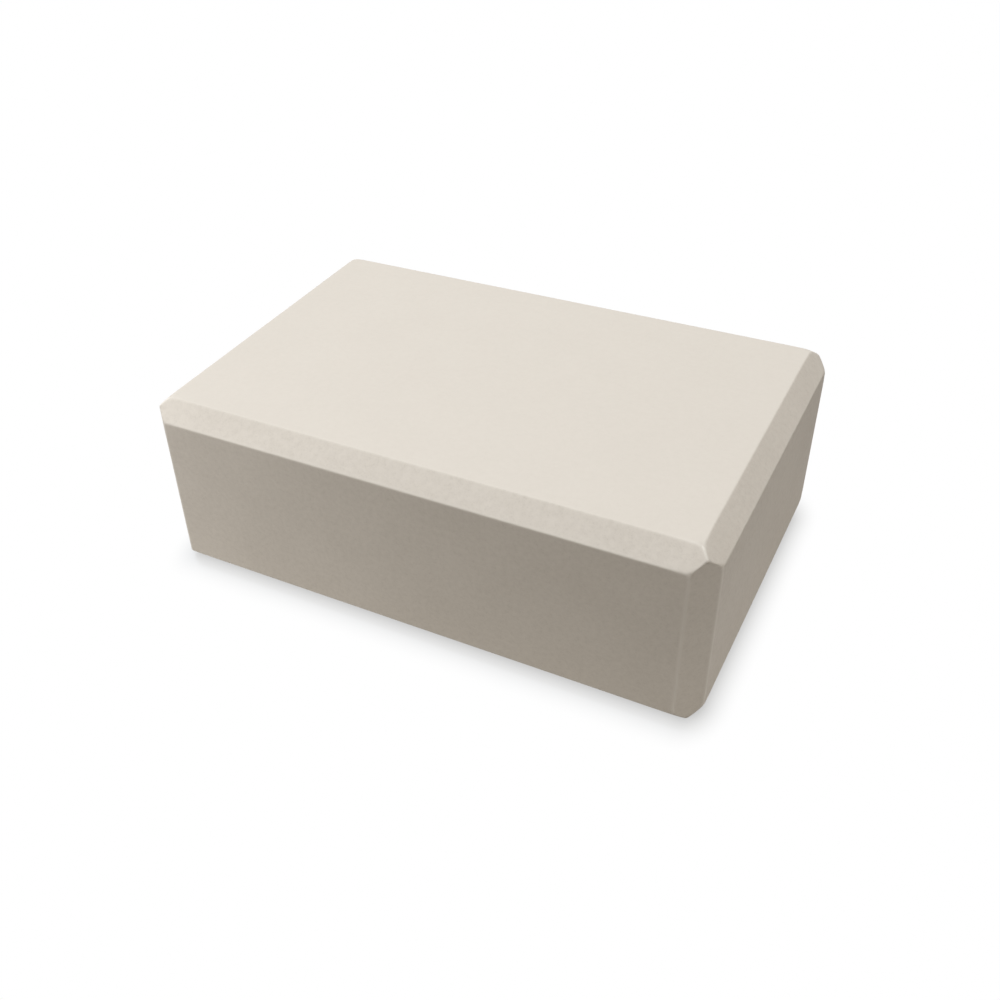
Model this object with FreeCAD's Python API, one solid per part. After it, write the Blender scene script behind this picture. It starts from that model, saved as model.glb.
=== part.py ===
"""Foam yoga block: three foam plies bonded into one brick, cut square and bevelled on every edge.

Frame: +X along the length, +Y along the width, +Z up, origin at the centre of the base face.
All sizes are millimetres.
"""
import FreeCAD, Part
import os

# Block, as cut from the bonded foam
LENGTH = 229.0
WIDTH = 152.0

# Foam sheets, and the hot-melt film that bonds each sheet to the next
PLY_THICKNESS = 26.2
BOND_THICKNESS = 0.15
PLIES = ("bottom_ply", "middle_ply", "top_ply")
BONDS = ("lower_bond_film", "upper_bond_film")

# Legs of the 45 degree bevels, one value for each direction of edge
LONG_EDGE_BEVEL = 7.4
SHORT_EDGE_BEVEL = 7.4
UPRIGHT_EDGE_BEVEL = 8.6

# Ridges between the flats, softened as trimmed foam is
RIDGE_RADIUS = 1.0

LAYER_PITCH = PLY_THICKNESS + BOND_THICKNESS
HEIGHT = len(PLIES) * PLY_THICKNESS + len(BONDS) * BOND_THICKNESS


def bevelled_outline(across, up, bevel):
    """A rectangle of that size about the origin, with its four corners cut at 45 degrees."""
    x, y = across / 2, up / 2
    corners = [
        (x, y - bevel), (x - bevel, y),
        (-x + bevel, y), (-x, y - bevel),
        (-x, -y + bevel), (-x + bevel, -y),
        (x - bevel, -y), (x, -y + bevel),
    ]
    points = [FreeCAD.Vector(u, v, 0) for u, v in corners]
    return Part.Face(Part.makePolygon(points + points[:1]))


def bevelled_bar(across, up, run, bevel):
    """A bar along Z, centred on the origin, with that bevelled outline."""
    bar = bevelled_outline(across, up, bevel).extrude(FreeCAD.Vector(0, 0, run))
    bar.translate(FreeCAD.Vector(0, 0, -run / 2))
    return bar


def bevelled_block():
    """The finished brick: three crossed bars have only its own flats and bevels in common.

    Each bar carries the bevels of one direction of edge, so at a corner three bevels meet in one point.
    """
    upright = bevelled_bar(LENGTH, WIDTH, HEIGHT, UPRIGHT_EDGE_BEVEL)
    lengthwise = bevelled_bar(HEIGHT, WIDTH, LENGTH, LONG_EDGE_BEVEL)
    lengthwise.rotate(FreeCAD.Vector(), FreeCAD.Vector(0, 1, 0), 90)
    crosswise = bevelled_bar(LENGTH, HEIGHT, WIDTH, SHORT_EDGE_BEVEL)
    crosswise.rotate(FreeCAD.Vector(), FreeCAD.Vector(1, 0, 0), 90)
    block = upright.common(lengthwise).common(crosswise).Solids[0]
    block = block.makeFillet(RIDGE_RADIUS, block.Edges)
    block.translate(FreeCAD.Vector(0, 0, HEIGHT / 2))
    return block


def layer(block, bottom, thickness):
    """The slice of the block between two level cuts."""
    corner = FreeCAD.Vector(-LENGTH / 2, -WIDTH / 2, bottom)
    slab = Part.makeBox(LENGTH, WIDTH, thickness, corner)
    return block.common(slab).Solids[0]


def foam_plies(block):
    """The foam sheets, lowest first."""
    return {
        name: layer(block, count * LAYER_PITCH, PLY_THICKNESS)
        for count, name in enumerate(PLIES)
    }


def bond_films(block):
    """The bond between each sheet and the next, trimmed flush with the sides of the brick."""
    return {
        name: layer(block, PLY_THICKNESS + count * LAYER_PITCH, BOND_THICKNESS)
        for count, name in enumerate(BONDS)
    }


def main():
    block = bevelled_block()
    pieces = {**foam_plies(block), **bond_films(block)}
    os.makedirs("parts", exist_ok=True)
    for name, solid in pieces.items():
        solid.exportStep("parts/" + name + ".step")
        box = solid.BoundBox
        print("%s: %.2f x %.2f x %.2f mm, %.1f cm3, valid %s" % (
            name, box.XLength, box.YLength, box.ZLength, solid.Volume / 1000, solid.isValid(),
        ))


main()
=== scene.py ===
# %% [markdown]
# A firm foam yoga block is about the plainest thing one can model: a brick with bevelled edges. With so
# little shape to look at, the eye goes to the ridges, the grain of the cut foam and the way soft light
# falls off from face to face. This lesson models those. It begins by loading the block's solids, which hold
# its real size and place, so that everything below can be measured from them and needs no fitting.

# %% Load the block's solids
import math

import bmesh
import bpy
import numpy as np
from mathutils import Matrix, Vector, noise


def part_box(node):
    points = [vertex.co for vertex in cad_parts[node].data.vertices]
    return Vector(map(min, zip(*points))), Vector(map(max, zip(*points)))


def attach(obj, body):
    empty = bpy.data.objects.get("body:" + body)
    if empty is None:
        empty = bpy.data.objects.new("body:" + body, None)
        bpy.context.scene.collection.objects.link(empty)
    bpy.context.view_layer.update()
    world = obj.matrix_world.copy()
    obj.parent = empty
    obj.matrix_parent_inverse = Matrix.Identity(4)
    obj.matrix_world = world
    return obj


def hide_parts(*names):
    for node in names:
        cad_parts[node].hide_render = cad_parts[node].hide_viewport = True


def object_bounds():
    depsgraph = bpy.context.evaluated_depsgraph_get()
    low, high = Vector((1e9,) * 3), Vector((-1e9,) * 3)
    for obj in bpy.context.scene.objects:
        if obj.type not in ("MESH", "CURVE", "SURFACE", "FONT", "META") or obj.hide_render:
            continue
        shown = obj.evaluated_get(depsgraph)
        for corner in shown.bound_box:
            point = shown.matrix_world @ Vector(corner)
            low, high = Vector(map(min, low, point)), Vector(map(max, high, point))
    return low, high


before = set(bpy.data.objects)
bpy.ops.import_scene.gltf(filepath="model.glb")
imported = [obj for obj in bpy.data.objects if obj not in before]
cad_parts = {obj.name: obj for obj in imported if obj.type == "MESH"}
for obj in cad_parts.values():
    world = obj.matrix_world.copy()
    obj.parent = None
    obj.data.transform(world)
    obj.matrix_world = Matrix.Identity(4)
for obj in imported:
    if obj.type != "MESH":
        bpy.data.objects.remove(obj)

MM = 0.001
cad_box = [list(corner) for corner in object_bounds()]
half = (np.array(cad_box[1]) - np.array(cad_box[0])) / 2
middle = (np.array(cad_box[1]) + np.array(cad_box[0])) / 2
print("block, length x width x height in mm:", [round(float(h) * 2 / MM, 2) for h in half])

# %% [markdown]
# Eighteen planes bound the block: six flat faces, and a 45 degree bevel along each of its twelve edges. The
# upright edges are trimmed a little deeper than the others. A cube with a bevel modifier would have these
# flats as faces. Here each is kept as a plane instead, as the direction it faces and its distance from the
# middle of the block, because then any point can be asked how far it stands outside each of them. The
# direction also tells which of four kinds a plane is: a broad face, a side, a level bevel or an upright
# bevel.

# %% The planes that bound the block
LONG_EDGE_BEVEL = 7.4 * MM
SHORT_EDGE_BEVEL = 7.4 * MM
UPRIGHT_EDGE_BEVEL = 8.6 * MM
X, Y, Z = range(3)


def face_planes():
    """The direction and distance of the six flat faces."""
    for axis in (X, Y, Z):
        for side in (-1, 1):
            direction = np.zeros(3)
            direction[axis] = side
            yield direction, half[axis]


def bevel_planes():
    """The direction and distance of the twelve bevels, each midway between two faces."""
    legs = {(X, Y): UPRIGHT_EDGE_BEVEL, (X, Z): SHORT_EDGE_BEVEL, (Y, Z): LONG_EDGE_BEVEL}
    for (first, second), leg in legs.items():
        for first_side in (-1, 1):
            for second_side in (-1, 1):
                direction = np.zeros(3)
                direction[first] = first_side
                direction[second] = second_side
                yield direction / math.sqrt(2), (half[first] + half[second] - leg) / math.sqrt(2)


planes = [*face_planes(), *bevel_planes()]
directions = np.array([direction for direction, distance in planes])
distances = np.array([distance for direction, distance in planes])

KINDS = range(4)
BROAD, SIDE, LEVEL, UPRIGHT = KINDS
is_face = np.abs(directions).max(axis=1) == 1
is_tipped = np.abs(directions[:, Z]) > 0
kinds = np.select([is_face & is_tipped, is_face, is_tipped], [BROAD, SIDE, LEVEL], UPRIGHT)
print("planes:", len(planes), "of each kind:", np.bincount(kinds))

# %% [markdown]
# Trimmed foam has no knife-sharp edges: the ridges are slightly rounded, and the corners, which are handled
# most, rather more. A bevel modifier could round them, but it gives every ridge one width. Here the planes
# are blended instead. The largest of the eighteen distances says how far outside the sharp block a point
# is, and a soft maximum of them, the logarithm of a sum of exponentials, says the same for a block with
# rounded ridges. The maximum is made softer where a corner's planes come together: most at the corners of
# the broad faces, less at those of the sides, and least where three bevels meet in one point.

# %% Soft ridges and softer corners
RIDGE_SOFTNESS = 0.12 * MM
CORNER_SPREAD = 1.6 * MM
BROAD_CORNER = {BROAD: 1, LEVEL: 2}
SIDE_CORNER = {SIDE: 1, UPRIGHT: 1, LEVEL: 1}
BEVEL_CORNER = {UPRIGHT: 1, LEVEL: 2}
CORNER_SOFTNESS = ((BROAD_CORNER, 0.52 * MM), (SIDE_CORNER, 0.34 * MM), (BEVEL_CORNER, 0.26 * MM))


def near_corner(outside, corner, spread):
    """1 where a corner's planes meet, so many of each kind, falling to 0 away from there."""
    lowest = [np.sort(outside[:, kinds == kind], axis=1)[:, -count] for kind, count in corner.items()]
    return np.exp(-((outside.max(axis=1) - np.min(lowest, axis=0)) / spread) ** 2)


def softened(points):
    """How far outside the soft block each point is, and the way out."""
    outside = points @ directions.T - distances
    most = outside.max(axis=1)
    softness = np.full(len(points), RIDGE_SOFTNESS)
    for corner, corner_softness in CORNER_SOFTNESS:
        softness += (corner_softness - RIDGE_SOFTNESS) * near_corner(outside, corner, CORNER_SPREAD)
    share = np.exp((outside - most[:, None]) / softness[:, None])
    total = share.sum(axis=1)
    way_out = (share / total[:, None]) @ directions
    return most + softness * np.log(total), way_out


corner_point = half[None, :]
print("a sharp box's corner stands outside by mm:", round(float(softened(corner_point)[0][0]) / MM, 2))

# %% [markdown]
# The surface itself starts as a grid wrapped round a plain box. An evenly divided cube would spend most of
# its points on the flats. So here the lines lie close together from each ridge to the box's edge, where the
# form turns, and wide apart between. The lines across the height also pass through every joint between the
# foam plies and the bond films, so that the block can be cut there later along lines that it already has.

# %% A grid wrapped round the box
FINE_STEP = 0.35 * MM
WIDE_STEP = 4.0 * MM
RIDGE_MARGIN = 1.4 * MM
POINT_DECIMALS = 8
LAYERS = ("bottom_ply", "lower_bond_film", "middle_ply", "upper_bond_film", "top_ply")
joints = [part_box(name)[0].z - middle[Z] for name in LAYERS[1:]]


def grid_lines(reach, deepest_bevel, cuts=()):
    """Places along one axis of the box, fine from its edge to past the ridge and wide between."""
    inset = np.arange(0, deepest_bevel + RIDGE_MARGIN, FINE_STEP)
    fine = reach - inset
    gaps = math.ceil(2 * fine[-1] / WIDE_STEP)
    wide = np.linspace(-fine[-1], fine[-1], gaps + 1)[1:-1]
    return np.unique(np.round(np.concatenate([-fine, fine, wide, cuts]), POINT_DECIMALS))


grid = [
    grid_lines(half[X], max(SHORT_EDGE_BEVEL, UPRIGHT_EDGE_BEVEL)),
    grid_lines(half[Y], max(LONG_EDGE_BEVEL, UPRIGHT_EDGE_BEVEL)),
    grid_lines(half[Z], max(LONG_EDGE_BEVEL, SHORT_EDGE_BEVEL), joints),
]


def box_side(axis, side):
    """One side of the box: its grid of points, and its quads with their fronts outward."""
    across, up = (axis + 1) % 3, (axis + 2) % 3
    u, v = np.meshgrid(grid[across], grid[up], indexing="ij")
    points = np.empty((u.size, 3))
    points[:, axis] = side * half[axis]
    points[:, across] = u.ravel()
    points[:, up] = v.ravel()
    number = np.arange(u.size).reshape(u.shape)
    around = [number[:-1, :-1], number[1:, :-1], number[1:, 1:], number[:-1, 1:]]
    quads = np.stack(around[::side], axis=-1).reshape(-1, 4)
    return points, quads


def wrapped_box():
    """All six sides as one closed grid."""
    points, quads = [], []
    count = 0
    for axis in (X, Y, Z):
        for side in (-1, 1):
            side_points, side_quads = box_side(axis, side)
            points.append(side_points)
            quads.append(side_quads + count)
            count += len(side_points)
    rounded = np.round(np.concatenate(points), POINT_DECIMALS)
    points, shared = np.unique(rounded, axis=0, return_inverse=True)
    return points, shared.ravel()[np.concatenate(quads)]


shell_points, shell_quads = wrapped_box()
print("grid points:", len(shell_points), "quads:", len(shell_quads))

# %% [markdown]
# Each point of the grid is now drawn down onto the soft block: it steps along the way out, by as much as it
# stands outside, until nothing is left. A shrinkwrap modifier does much the same, but it needs a second mesh
# to wrap onto, and here the formula takes that mesh's place. The box's rim lands in the middle of the
# bevels, and the ridges fall between the fine lines. Foam is never dead flat either, so a slow, shallow
# noise then presses the surface in by a few hundredths of a millimetre.

# %% Draw the grid down onto the block
STEPS = 24
UNEVEN_DEPTH = 0.08 * MM
UNEVEN_WAVE = 34.0 * MM

for step in range(STEPS):
    outside, way_out = softened(shell_points)
    steepness = (way_out ** 2).sum(axis=1)
    shell_points = shell_points - way_out * (outside / steepness)[:, None]

outside, way_out = softened(shell_points)
way_out = way_out / np.linalg.norm(way_out, axis=1)[:, None]
waves = np.array([noise.noise(Vector(point) / UNEVEN_WAVE) for point in shell_points])
shell_points = shell_points - way_out * (UNEVEN_DEPTH * (0.5 + 0.5 * waves))[:, None]
print("furthest point left outside, in mm:", round(float(np.abs(outside).max()) / MM, 5))

# %% [markdown]
# The ridges are painted paler: partly for abrasion of the foam's edges, and partly as painted highlight
# where light catches them. A shader's Pointiness finds ridges by itself, but it treats them all alike. So
# every point notes here how pale it is, and the finish will read the note. How pale a ridge is depends on
# the
# planes that meet there: the mitres at the corners most, then the upright ridges, and the ridges round the
# broad faces hardly at all, except near their corners, where the paleness grows towards the right end.

# %% Note the pale ridges: abrasion and painted highlight
# Paler ridges: partly abraded foam, partly painted highlight.
PALE_RIDGE_WIDTH = 0.45 * MM
CORNER_WEAR_AND_HIGHLIGHT = 0.4
CORNER_PALENESS_SPREAD = 6.0 * MM
RIDGE_WEAR_AND_HIGHLIGHT = {
    (LEVEL, LEVEL): 1.0,
    (SIDE, UPRIGHT): 0.7,
    (SIDE, LEVEL): 0.35,
    (UPRIGHT, LEVEL): 0.15,
    (BROAD, LEVEL): 0.05,
}


def ridge_wear_and_highlight(points):
    """Paleness of each point, abrasion and painted highlight: nothing on flats, on a ridge by the planes
    that meet.
    """
    paleness_by_kind = np.zeros((len(KINDS), len(KINDS)))
    for (one, other), amount in RIDGE_WEAR_AND_HIGHLIGHT.items():
        paleness_by_kind[one, other] = paleness_by_kind[other, one] = amount
    outside = points @ directions.T - distances
    meeting = np.argsort(outside, axis=1)[:, -2:]
    second, first = np.take_along_axis(outside, meeting, axis=1).T
    paleness = paleness_by_kind[tuple(kinds[meeting].T)]
    # Abrasion and painted highlight at the corners grow from none at the left end to full at the right end.
    toward_right_end = (points[:, X] / half[X] + 1) / 2
    at_corner = CORNER_WEAR_AND_HIGHLIGHT * toward_right_end * near_corner(outside, BROAD_CORNER, CORNER_PALENESS_SPREAD)
    return np.maximum(paleness, at_corner) * np.exp(-((first - second) / PALE_RIDGE_WIDTH) ** 2)


wear_and_highlight = ridge_wear_and_highlight(shell_points)
shell_points = shell_points + middle
print("points rubbed by a half or more:", int((wear_and_highlight >= 0.5).sum()))

# %% [markdown]
# The block is built from foam sheets about an inch thick, bonded face to face with a thin film and only
# then cut square and bevelled, which is why the layers lie flush and the joints hardly show. So the
# finished surface is cut into its layers here, in the same order as in the workshop. A boolean could slice
# it, but the grid has lines at the joints already, so it is enough to sort its quads by height. Each layer
# is then closed with a cap where it is bonded. The cap's rim is marked sharp, so that shading runs on
# smoothly from layer to layer.

# %% Bands of the surface, and their caps
def layer_band(low, high):
    """The part of the surface between two heights, as an open mesh with its pale ridges noted."""
    heights = shell_points[shell_quads, Z].mean(axis=1)
    quads = shell_quads[(heights > low) & (heights < high)]
    used, numbered = np.unique(quads, return_inverse=True)
    mesh = bpy.data.meshes.new("layer")
    mesh.from_pydata(shell_points[used].tolist(), [], numbered.reshape(-1, 4).tolist())
    # The note holds the ridges' paleness: partly abrasion, partly painted highlight.
    note = mesh.attributes.new("wear_and_highlight", "FLOAT", "POINT")
    note.data.foreach_set("value", wear_and_highlight[used].astype(np.float32))
    return mesh


def close_ends(mesh):
    """Caps the layer's open rims with fans of triangles, with the rims sharp and the rest smooth."""
    bm = bmesh.new()
    bm.from_mesh(mesh)
    for face in bm.faces:
        face.smooth = True
    rims = [edge for edge in bm.edges if edge.is_boundary]
    for edge in rims:
        edge.smooth = False
    caps = bmesh.ops.holes_fill(bm, edges=rims, sides=0)["faces"]
    count = len(caps)
    for face in bmesh.ops.poke(bm, faces=caps)["faces"]:
        face.smooth = False
    bmesh.ops.recalc_face_normals(bm, faces=bm.faces[:])
    bm.to_mesh(mesh)
    bm.free()
    return count


print("heights of the joints in mm:", [round(float(joint + middle[Z]) / MM, 2) for joint in joints])

# %% [markdown]
# Each layer now becomes a piece of its own. It rides on the block's one body and takes the place of its
# solid. Firm foam neither sags nor swells. A cushion would be blown up by a cloth simulation here, and that
# would only blur these flats.

# %% Cut the surface into plies and bond films
PIECE_NAMES = {
    "bottom_ply": "foam_bottom",
    "lower_bond_film": "bond_lower",
    "middle_ply": "foam_middle",
    "upper_bond_film": "bond_upper",
    "top_ply": "foam_top",
}


def cut_layer(node):
    """One layer of the block, standing for its solid."""
    low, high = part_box(node)
    mesh = layer_band(low.z, high.z)
    caps = close_ends(mesh)
    piece = bpy.data.objects.new(PIECE_NAMES[node], mesh)
    mesh.name = piece.name
    bpy.context.collection.objects.link(piece)
    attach(piece, "root")
    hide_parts(node)
    print(piece.name, "points:", len(mesh.vertices), "caps:", caps)
    return piece


layers = {node: cut_layer(node) for node in LAYERS}
plies = [piece for node, piece in layers.items() if node.endswith("_ply")]
films = [piece for node, piece in layers.items() if node.endswith("_film")]

# %% [markdown]
# Materials in Blender are trees of nodes. Written out node by node they are hard to follow, so a few small
# helpers put a node, do a sum, take a value from one range to another and mix two colours. A mix node keeps
# sockets for numbers, vectors and colours side by side under the same names, so the ones for colours are
# picked by number.

# %% Helpers for node materials
COLOUR_MIX_INPUTS = (0, 6, 7)
COLOUR_MIX_RESULT = 2
UNIT = (0.0, 1.0)


def new_tree(name):
    """An empty node material with its output."""
    material = bpy.data.materials.new(name)
    material.use_nodes = True
    tree = material.node_tree
    tree.nodes.clear()
    return material, tree, tree.nodes.new("ShaderNodeOutputMaterial")


def put(tree, kind, inputs=(), **settings):
    """A node with its settings, and each input either linked to a socket or set to a value."""
    node = tree.nodes.new("ShaderNode" + kind)
    for name, value in settings.items():
        setattr(node, name, value)
    for name, value in dict(inputs).items():
        if isinstance(value, bpy.types.NodeSocket):
            tree.links.new(value, node.inputs[name])
        else:
            node.inputs[name].default_value = value
    return node


def math_node(tree, operation, first, second=0.0, clamp=False):
    """The result of a sum on two numbers or sockets."""
    return put(tree, "Math", {0: first, 1: second}, operation=operation, use_clamp=clamp).outputs[0]


def vector_node(tree, operation, first, second=(0.0, 0.0, 0.0), output="Vector"):
    """The result of a sum on two vectors or sockets."""
    return put(tree, "VectorMath", {0: first, 1: second}, operation=operation).outputs[output]


def ranged(tree, value, span, result=UNIT):
    """A value taken from one range to another, and kept within it."""
    low, high = span
    to_low, to_high = result
    inputs = {"Value": value, "From Min": low, "From Max": high, "To Min": to_low, "To Max": to_high}
    return put(tree, "MapRange", inputs).outputs["Result"]


def mixed_colour(tree, amount, first, second):
    """Two colours mixed by an amount."""
    inputs = dict(zip(COLOUR_MIX_INPUTS, (amount, first, second)))
    return put(tree, "Mix", inputs, data_type="RGBA").outputs[COLOUR_MIX_RESULT]


helpers = (new_tree, put, math_node, vector_node, ranged, mixed_colour)
print("helpers:", [helper.__name__ for helper in helpers])

# %% [markdown]
# The finish is closed-cell foam. Its broad faces keep the smooth skin of the press, while a blade has
# opened the sides and bevels, so there the cells show as a fine grain: pits under a millimetre wide, in
# clusters of about two, over slow patches a little darker or paler. An image of foam would need unwrapping
# and would show its seams at the joints, so the pattern is made from textures in the block's own
# coordinates, which run on without a break from ply to ply. The skin is told from the cut sides by which
# way the surface faces, since only the broad faces point straight up or down.

# %% Cells, grain and patches
CELL_WIDTH = 0.8 * MM
CELL_SPAN = (0.05, 0.55)
CELL_LEAST = 0.5
GRAIN_WIDTH = 2.0 * MM
GRAIN_DETAIL = {"Detail": 3.0, "Roughness": 0.6}
PATCH_WIDTH = 21.0 * MM
PATCH_DETAIL = {"Detail": 2.0, "Roughness": 0.5}
PATCH_SHARE = 0.15
NOISE_SPAN = (0.30, 0.70)
SKIN_FACING = (0.90, 0.985)
SKIN_GRAIN = 0.3


def foam_texture(tree, kind, output, width, detail=()):
    """A texture in the block's own coordinates, with features of that width."""
    place = put(tree, "TexCoord").outputs["Object"]
    return put(tree, kind, {"Vector": place, "Scale": 1 / width, **dict(detail)}).outputs[output]


def foam_pattern(tree, deep_share):
    """How far the cells are opened, how deep the tone is, and the grain. The skin shows less of each."""
    cells = foam_texture(tree, "TexVoronoi", "Distance", CELL_WIDTH)
    grain = foam_texture(tree, "TexNoise", "Fac", GRAIN_WIDTH, GRAIN_DETAIL)
    patches = foam_texture(tree, "TexNoise", "Fac", PATCH_WIDTH, PATCH_DETAIL)

    outward = put(tree, "TexCoord").outputs["Normal"]
    upward = put(tree, "SeparateXYZ", {"Vector": outward}).outputs["Z"]
    bare = ranged(tree, math_node(tree, "ABSOLUTE", upward), SKIN_FACING, (1.0, SKIN_GRAIN))

    pits = ranged(tree, cells, CELL_SPAN, (1.0, CELL_LEAST))
    opened = math_node(tree, "MULTIPLY", ranged(tree, grain, NOISE_SPAN), pits)
    opened = math_node(tree, "MULTIPLY", opened, bare)
    drift = ranged(tree, patches, NOISE_SPAN, (-PATCH_SHARE, PATCH_SHARE))
    drift = math_node(tree, "MULTIPLY", drift, bare)
    tone = math_node(tree, "MULTIPLY", opened, deep_share)
    return opened, math_node(tree, "ADD", tone, drift, clamp=True), grain


widths = (CELL_WIDTH, GRAIN_WIDTH, PATCH_WIDTH)
print("cells, grain and patches in mm:", [round(width / MM, 2) for width in widths])

# %% [markdown]
# The colour is a warm bone tone. The patches vary it by a percent or two, the opened cells are slightly
# darker inside, and the ridges are painted paler, partly for abrasion and partly as painted highlight. The
# same cells drive the bump and the roughness, so that colour, relief and gloss agree. Real pits could be
# modelled, but they are far smaller than the grid, so a bump is enough for them.

# %% The foam finish
BONE = (0.818, 0.760, 0.687, 1.0)
BONE_DEEP = (0.722, 0.666, 0.596, 1.0)
# The ridges' paler colour: partly abrasion, partly painted highlight.
BONE_WEAR_AND_HIGHLIGHT = (0.975, 0.925, 0.855, 1.0)
PALENESS_SPAN = (0.25, 0.60)
PALENESS_LEAST = 0.65
BUMP_DEPTH = 0.06 * MM
BUMP_STRENGTH = 0.35
FOAM_ROUGHNESS = (0.72, 0.90)
FOAM_SPECULAR = 0.30


def foam_finish(name, deep_share):
    """Closed-cell foam. deep_share is how much of the cells' darker tone the cut sides take."""
    material, tree, output = new_tree(name)
    opened, tone, grain = foam_pattern(tree, deep_share)

    colour = mixed_colour(tree, tone, BONE, BONE_DEEP)
    # Paler ridges from each point's note: partly abrasion, partly painted highlight.
    ridge = put(tree, "Attribute", attribute_name="wear_and_highlight").outputs["Fac"]
    paleness = math_node(tree, "MULTIPLY", ridge, ranged(tree, grain, PALENESS_SPAN, (PALENESS_LEAST, 1.0)))
    colour = mixed_colour(tree, paleness, colour, BONE_WEAR_AND_HIGHLIGHT)

    relief = math_node(tree, "SUBTRACT", 1.0, opened)
    bump = put(tree, "Bump", {"Height": relief, "Strength": BUMP_STRENGTH, "Distance": BUMP_DEPTH})
    shader = put(tree, "BsdfPrincipled", {
        "Base Color": colour,
        "Roughness": ranged(tree, opened, UNIT, FOAM_ROUGHNESS),
        "Normal": bump.outputs["Normal"],
        "Specular IOR Level": FOAM_SPECULAR,
    })
    tree.links.new(shader.outputs[0], output.inputs["Surface"])
    return material


foam = foam_finish("bone_foam", deep_share=1.0)
for ply in plies:
    ply.data.materials.append(foam)
print("foam nodes:", len(foam.node_tree.nodes))

# %% [markdown]
# The bond is a hot-melt film that soaks into the cells on both sides, so at the cut it is a hairline of the
# foam's own colour. A line drawn in the foam's material could stand for it, but the film is a piece of its
# own. So it has a material of its own: the same finish, with fuller, more evenly coloured cells.

# %% The bond film finish
bond = foam_finish("bond_film", deep_share=0.6)
for film in films:
    film.data.materials.append(bond)
print("film nodes:", len(bond.node_tree.nodes))

# %% [markdown]
# The block lies on a white table in soft light. A plain white floor would throw so much light back at the
# sides that they would lose their shade. So the table is a wide disc with two finishes. To the light it is
# a dim warm surface round the block, which lifts the sides a little from below, and nearly black further
# out. To the camera it is a pure white ground. The light path says which kind of ray asks: camera, mirror
# and see-through rays get the picture's ground.

# %% Which rays ask, and how far from the block
END_INSET = 2.0 * MM
base_half = (half[X] - END_INSET, half[Y] - LONG_EDGE_BEVEL)


def seen_directly(tree):
    """1 for rays that show the ground in the picture, and 0 for rays that only carry light."""
    path = put(tree, "LightPath").outputs
    either = math_node(tree, "MAXIMUM", path["Is Camera Ray"], path["Is Glossy Ray"])
    return math_node(tree, "MAXIMUM", either, path["Is Transmission Ray"])


def from_base(tree, reach, rounding=0.0):
    """How far a point of the table lies from the block's base, as a share of a reach along X and Y.

    The base's corners are rounded by a share of the same reach.
    """
    core = [size - rounding * share for size, share in zip(base_half, reach)]
    place = vector_node(tree, "ABSOLUTE", put(tree, "TexCoord").outputs["Object"])
    beyond = vector_node(tree, "SUBTRACT", place, (*core, 0.0))
    beyond = vector_node(tree, "MAXIMUM", beyond)
    beyond = vector_node(tree, "DIVIDE", beyond, (*reach, 1.0))
    far = vector_node(tree, "LENGTH", beyond, output="Value")
    return math_node(tree, "SUBTRACT", far, rounding)


print("base, length x width in mm:", [round(float(h) * 2 / MM, 1) for h in base_half])

# %% [markdown]
# The shadow has to stay on that white ground. Blender's shadow catcher keeps a shadow, but it has to be
# laid over a background afterwards. So a grey surface, which takes the lamps' light and the block's real
# shadow, is mixed into the white close to the base, where the block touches the table, and it fades with the
# square of the distance: a painted shadow round the base. Its reach is longer to the front and back than to
# the ends. The table lies a hair under the block, so that the two never share a surface.

# %% The white table
TABLE_RADIUS = 3.0
TABLE_GAP = 0.05 * MM
TABLE_SIDES = 96
WHITE = (1.0, 1.0, 1.0, 1.0)
TABLE_BOUNCE = (0.30, 0.285, 0.26, 1.0)
TABLE_DARK = (0.03, 0.03, 0.03, 1.0)
BOUNCE_REACH = (117.0 * MM, 117.0 * MM)
TABLE_SHADE = (0.47, 0.50, 0.53, 1.0)
SHADOW_SHARE = 0.48
SHADOW_REACH = (12.0 * MM, 19.0 * MM)
SHADOW_ROUNDING = 0.5
SHADOW_POWER = 2.0


def table_finish():
    """A table that bounces a little warm light, and shows as white ground with the block's shadow."""
    material, tree, output = new_tree("white_table")
    shadowed = put(tree, "BsdfDiffuse", {"Color": TABLE_SHADE})
    white = put(tree, "Emission", {"Color": WHITE, "Strength": 1.0})
    lit = mixed_colour(tree, from_base(tree, BOUNCE_REACH), TABLE_BOUNCE, TABLE_DARK)
    bounce = put(tree, "BsdfDiffuse", {"Color": lit})
    # The painted shadow: the grey surface's share fades with the distance from the base.
    near = ranged(tree, from_base(tree, SHADOW_REACH, SHADOW_ROUNDING), UNIT, (1.0, 0.0))
    share = math_node(tree, "MULTIPLY", math_node(tree, "POWER", near, SHADOW_POWER), SHADOW_SHARE)
    ground = put(tree, "MixShader", {0: share, 1: white.outputs[0], 2: shadowed.outputs[0]})
    both = put(tree, "MixShader", {0: seen_directly(tree), 1: bounce.outputs[0], 2: ground.outputs[0]})
    tree.links.new(both.outputs[0], output.inputs["Surface"])
    return material


def white_table():
    """A wide disc just under the block."""
    mesh = bpy.data.meshes.new("white_table")
    bm = bmesh.new()
    bmesh.ops.create_circle(bm, cap_ends=True, segments=TABLE_SIDES, radius=TABLE_RADIUS)
    bm.to_mesh(mesh)
    bm.free()
    mesh.materials.append(table_finish())
    table = bpy.data.objects.new("white_table", mesh)
    table.location.z = cad_box[0][Z] - TABLE_GAP
    bpy.context.collection.objects.link(table)
    return table


table = white_table()
print("table height in mm:", round(table.location.z / MM, 3))

# %% [markdown]
# One large soft lamp hangs high above the block, to the left, so the top is brightest, then the bevels, and
# the light hardly changes along them. A bright sky all round would be simpler, but it would leave the sides
# almost as bright as the top. Here the front and the right end are nearly in the lamp's shade. A dim warm
# world and the table lift them, and four small cards of light stand round them: two at the front left,
# which make the front face fade from left to right, one at the front right and one at the right end.

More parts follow.
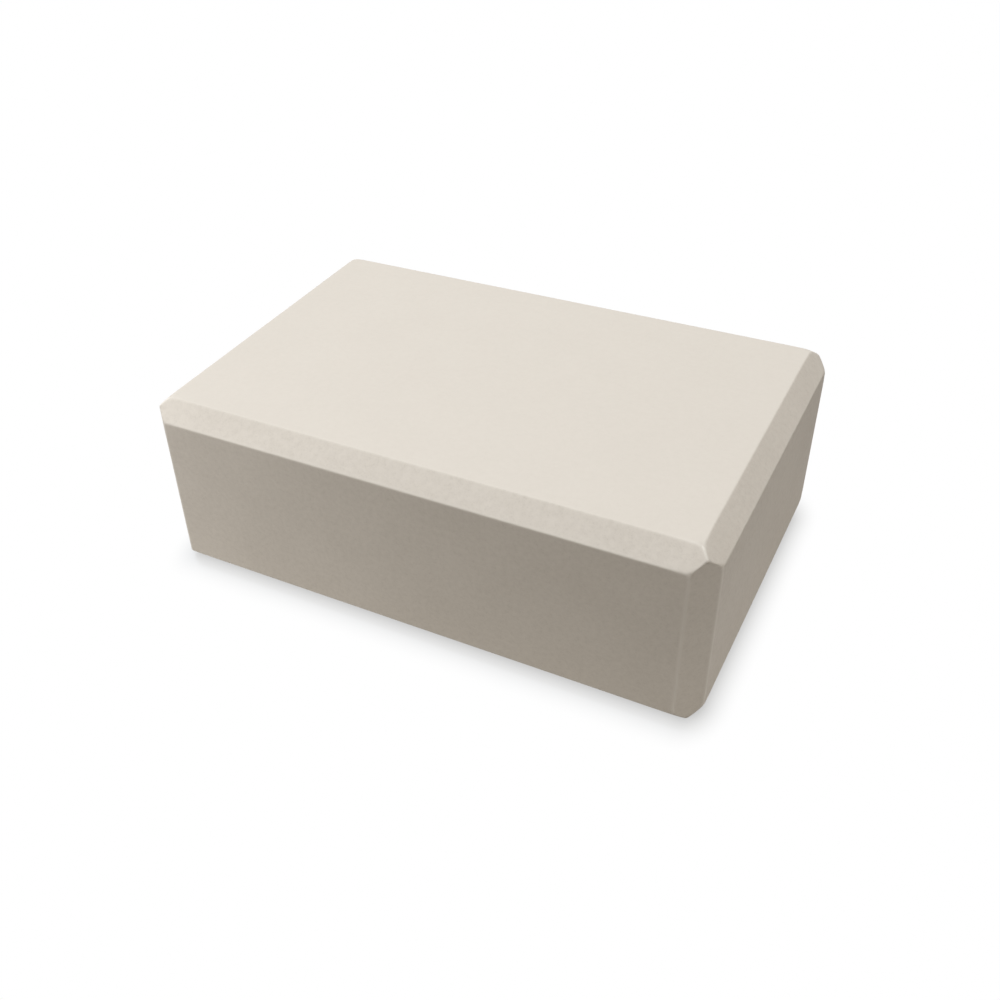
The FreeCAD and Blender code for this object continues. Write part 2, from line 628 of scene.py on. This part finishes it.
# %% Lamps and world
AIM = Vector(middle)
LAMP_SIZE = 1.0
LAMP_COOL = (0.895, 0.945, 1.0)
CARD_SIZE = 0.15
CARD_WHITE = (1.0, 1.0, 1.0)
CARDS = {
    "card_front_low": {"place": (-0.23, -0.28, 0.05), "power": 0.178},
    "card_front_mid": {"place": (-0.18, -0.31, 0.20), "power": 0.065},
    "card_front_right": {"place": (0.275, -0.475, 0.05), "power": 0.12},
    "card_right": {"place": (0.55, -0.05, 0.05), "power": 0.35},
}
WORLD_WARM = (1.0, 0.908, 0.771, 1.0)
WORLD_STRENGTH = 0.32


def soft_lamp(name, place, power, size, colour):
    """A square area lamp that faces the block, out of the camera's sight."""
    data = bpy.data.lights.new(name, "AREA")
    data.shape = "SQUARE"
    data.size = size
    data.energy = power
    data.color = colour
    lamp = bpy.data.objects.new(name, data)
    lamp.location = place
    lamp.rotation_mode = "QUATERNION"
    lamp.rotation_quaternion = (AIM - lamp.location).to_track_quat("-Z", "Y")
    lamp.visible_camera = False
    bpy.context.collection.objects.link(lamp)


def soft_world():
    """A dim world that the camera sees as white."""
    world = bpy.data.worlds.new("studio")
    world.use_nodes = True
    tree = world.node_tree
    tree.nodes.clear()
    dim = put(tree, "Background", {"Color": WORLD_WARM, "Strength": WORLD_STRENGTH})
    white = put(tree, "Background", {"Color": WHITE, "Strength": 1.0})
    both = put(tree, "MixShader", {0: seen_directly(tree), 1: dim.outputs[0], 2: white.outputs[0]})
    tree.links.new(both.outputs[0], put(tree, "OutputWorld").inputs["Surface"])
    bpy.context.scene.world = world


soft_lamp("lamp_above", place=(-0.87, 0.00, 2.69), power=54.4, size=LAMP_SIZE, colour=LAMP_COOL)
for name, card in CARDS.items():
    soft_lamp(name, **card, size=CARD_SIZE, colour=CARD_WHITE)
soft_world()
bpy.context.scene.view_settings.view_transform = "Standard"

# %% [markdown]
# The camera looks down on the front right corner. Its place, its two angles, its slight roll and its lens
# were found by fitting a block of these sizes to the photographed edges. The lens is shifted a little,
# because the picture was cropped off centre. A constraint that tracks the block would aim the camera, but
# it knows nothing of roll. So the way the camera looks and its upright are worked out from the angles, and
# those two make its matrix.

# %% The camera
CAMERA_PLACE = Vector((172.9, -344.7, 303.5)) * MM
CAMERA_TURN = math.radians(29.52)
CAMERA_TILT = math.radians(37.81)
CAMERA_ROLL = math.radians(-2.59)
CAMERA_LENS = 40.39
CAMERA_SHIFT = (0.0485, 0.0235)
CAMERA_NEAREST = 10.0 * MM
SENSOR_WIDTH = 36.0


def camera_axes():
    """The camera's right, up and back, in the block's frame."""
    ahead = Vector((
        -math.sin(CAMERA_TURN) * math.cos(CAMERA_TILT),
        math.cos(CAMERA_TURN) * math.cos(CAMERA_TILT),
        -math.sin(CAMERA_TILT),
    ))
    sideways = ahead.cross(Vector((0, 0, 1))).normalized()
    upright = sideways.cross(ahead)
    right = sideways * math.cos(CAMERA_ROLL) + upright * math.sin(CAMERA_ROLL)
    up = upright * math.cos(CAMERA_ROLL) - sideways * math.sin(CAMERA_ROLL)
    return right, up, -ahead


camera_data = bpy.data.cameras.new("camera")
camera_data.lens = CAMERA_LENS
camera_data.sensor_width = SENSOR_WIDTH
camera_data.shift_x, camera_data.shift_y = CAMERA_SHIFT
camera_data.clip_start = CAMERA_NEAREST
camera = bpy.data.objects.new("camera", camera_data)
camera.matrix_world = Matrix.Translation(CAMERA_PLACE) @ Matrix(camera_axes()).transposed().to_4x4()
bpy.context.collection.objects.link(camera)
bpy.context.scene.camera = camera
print("camera to block in mm:", round((CAMERA_PLACE - AIM).length / MM, 1))

# %% [markdown]
# Last, the scene is brought up to date.

# %% The end
bpy.context.view_layer.update()
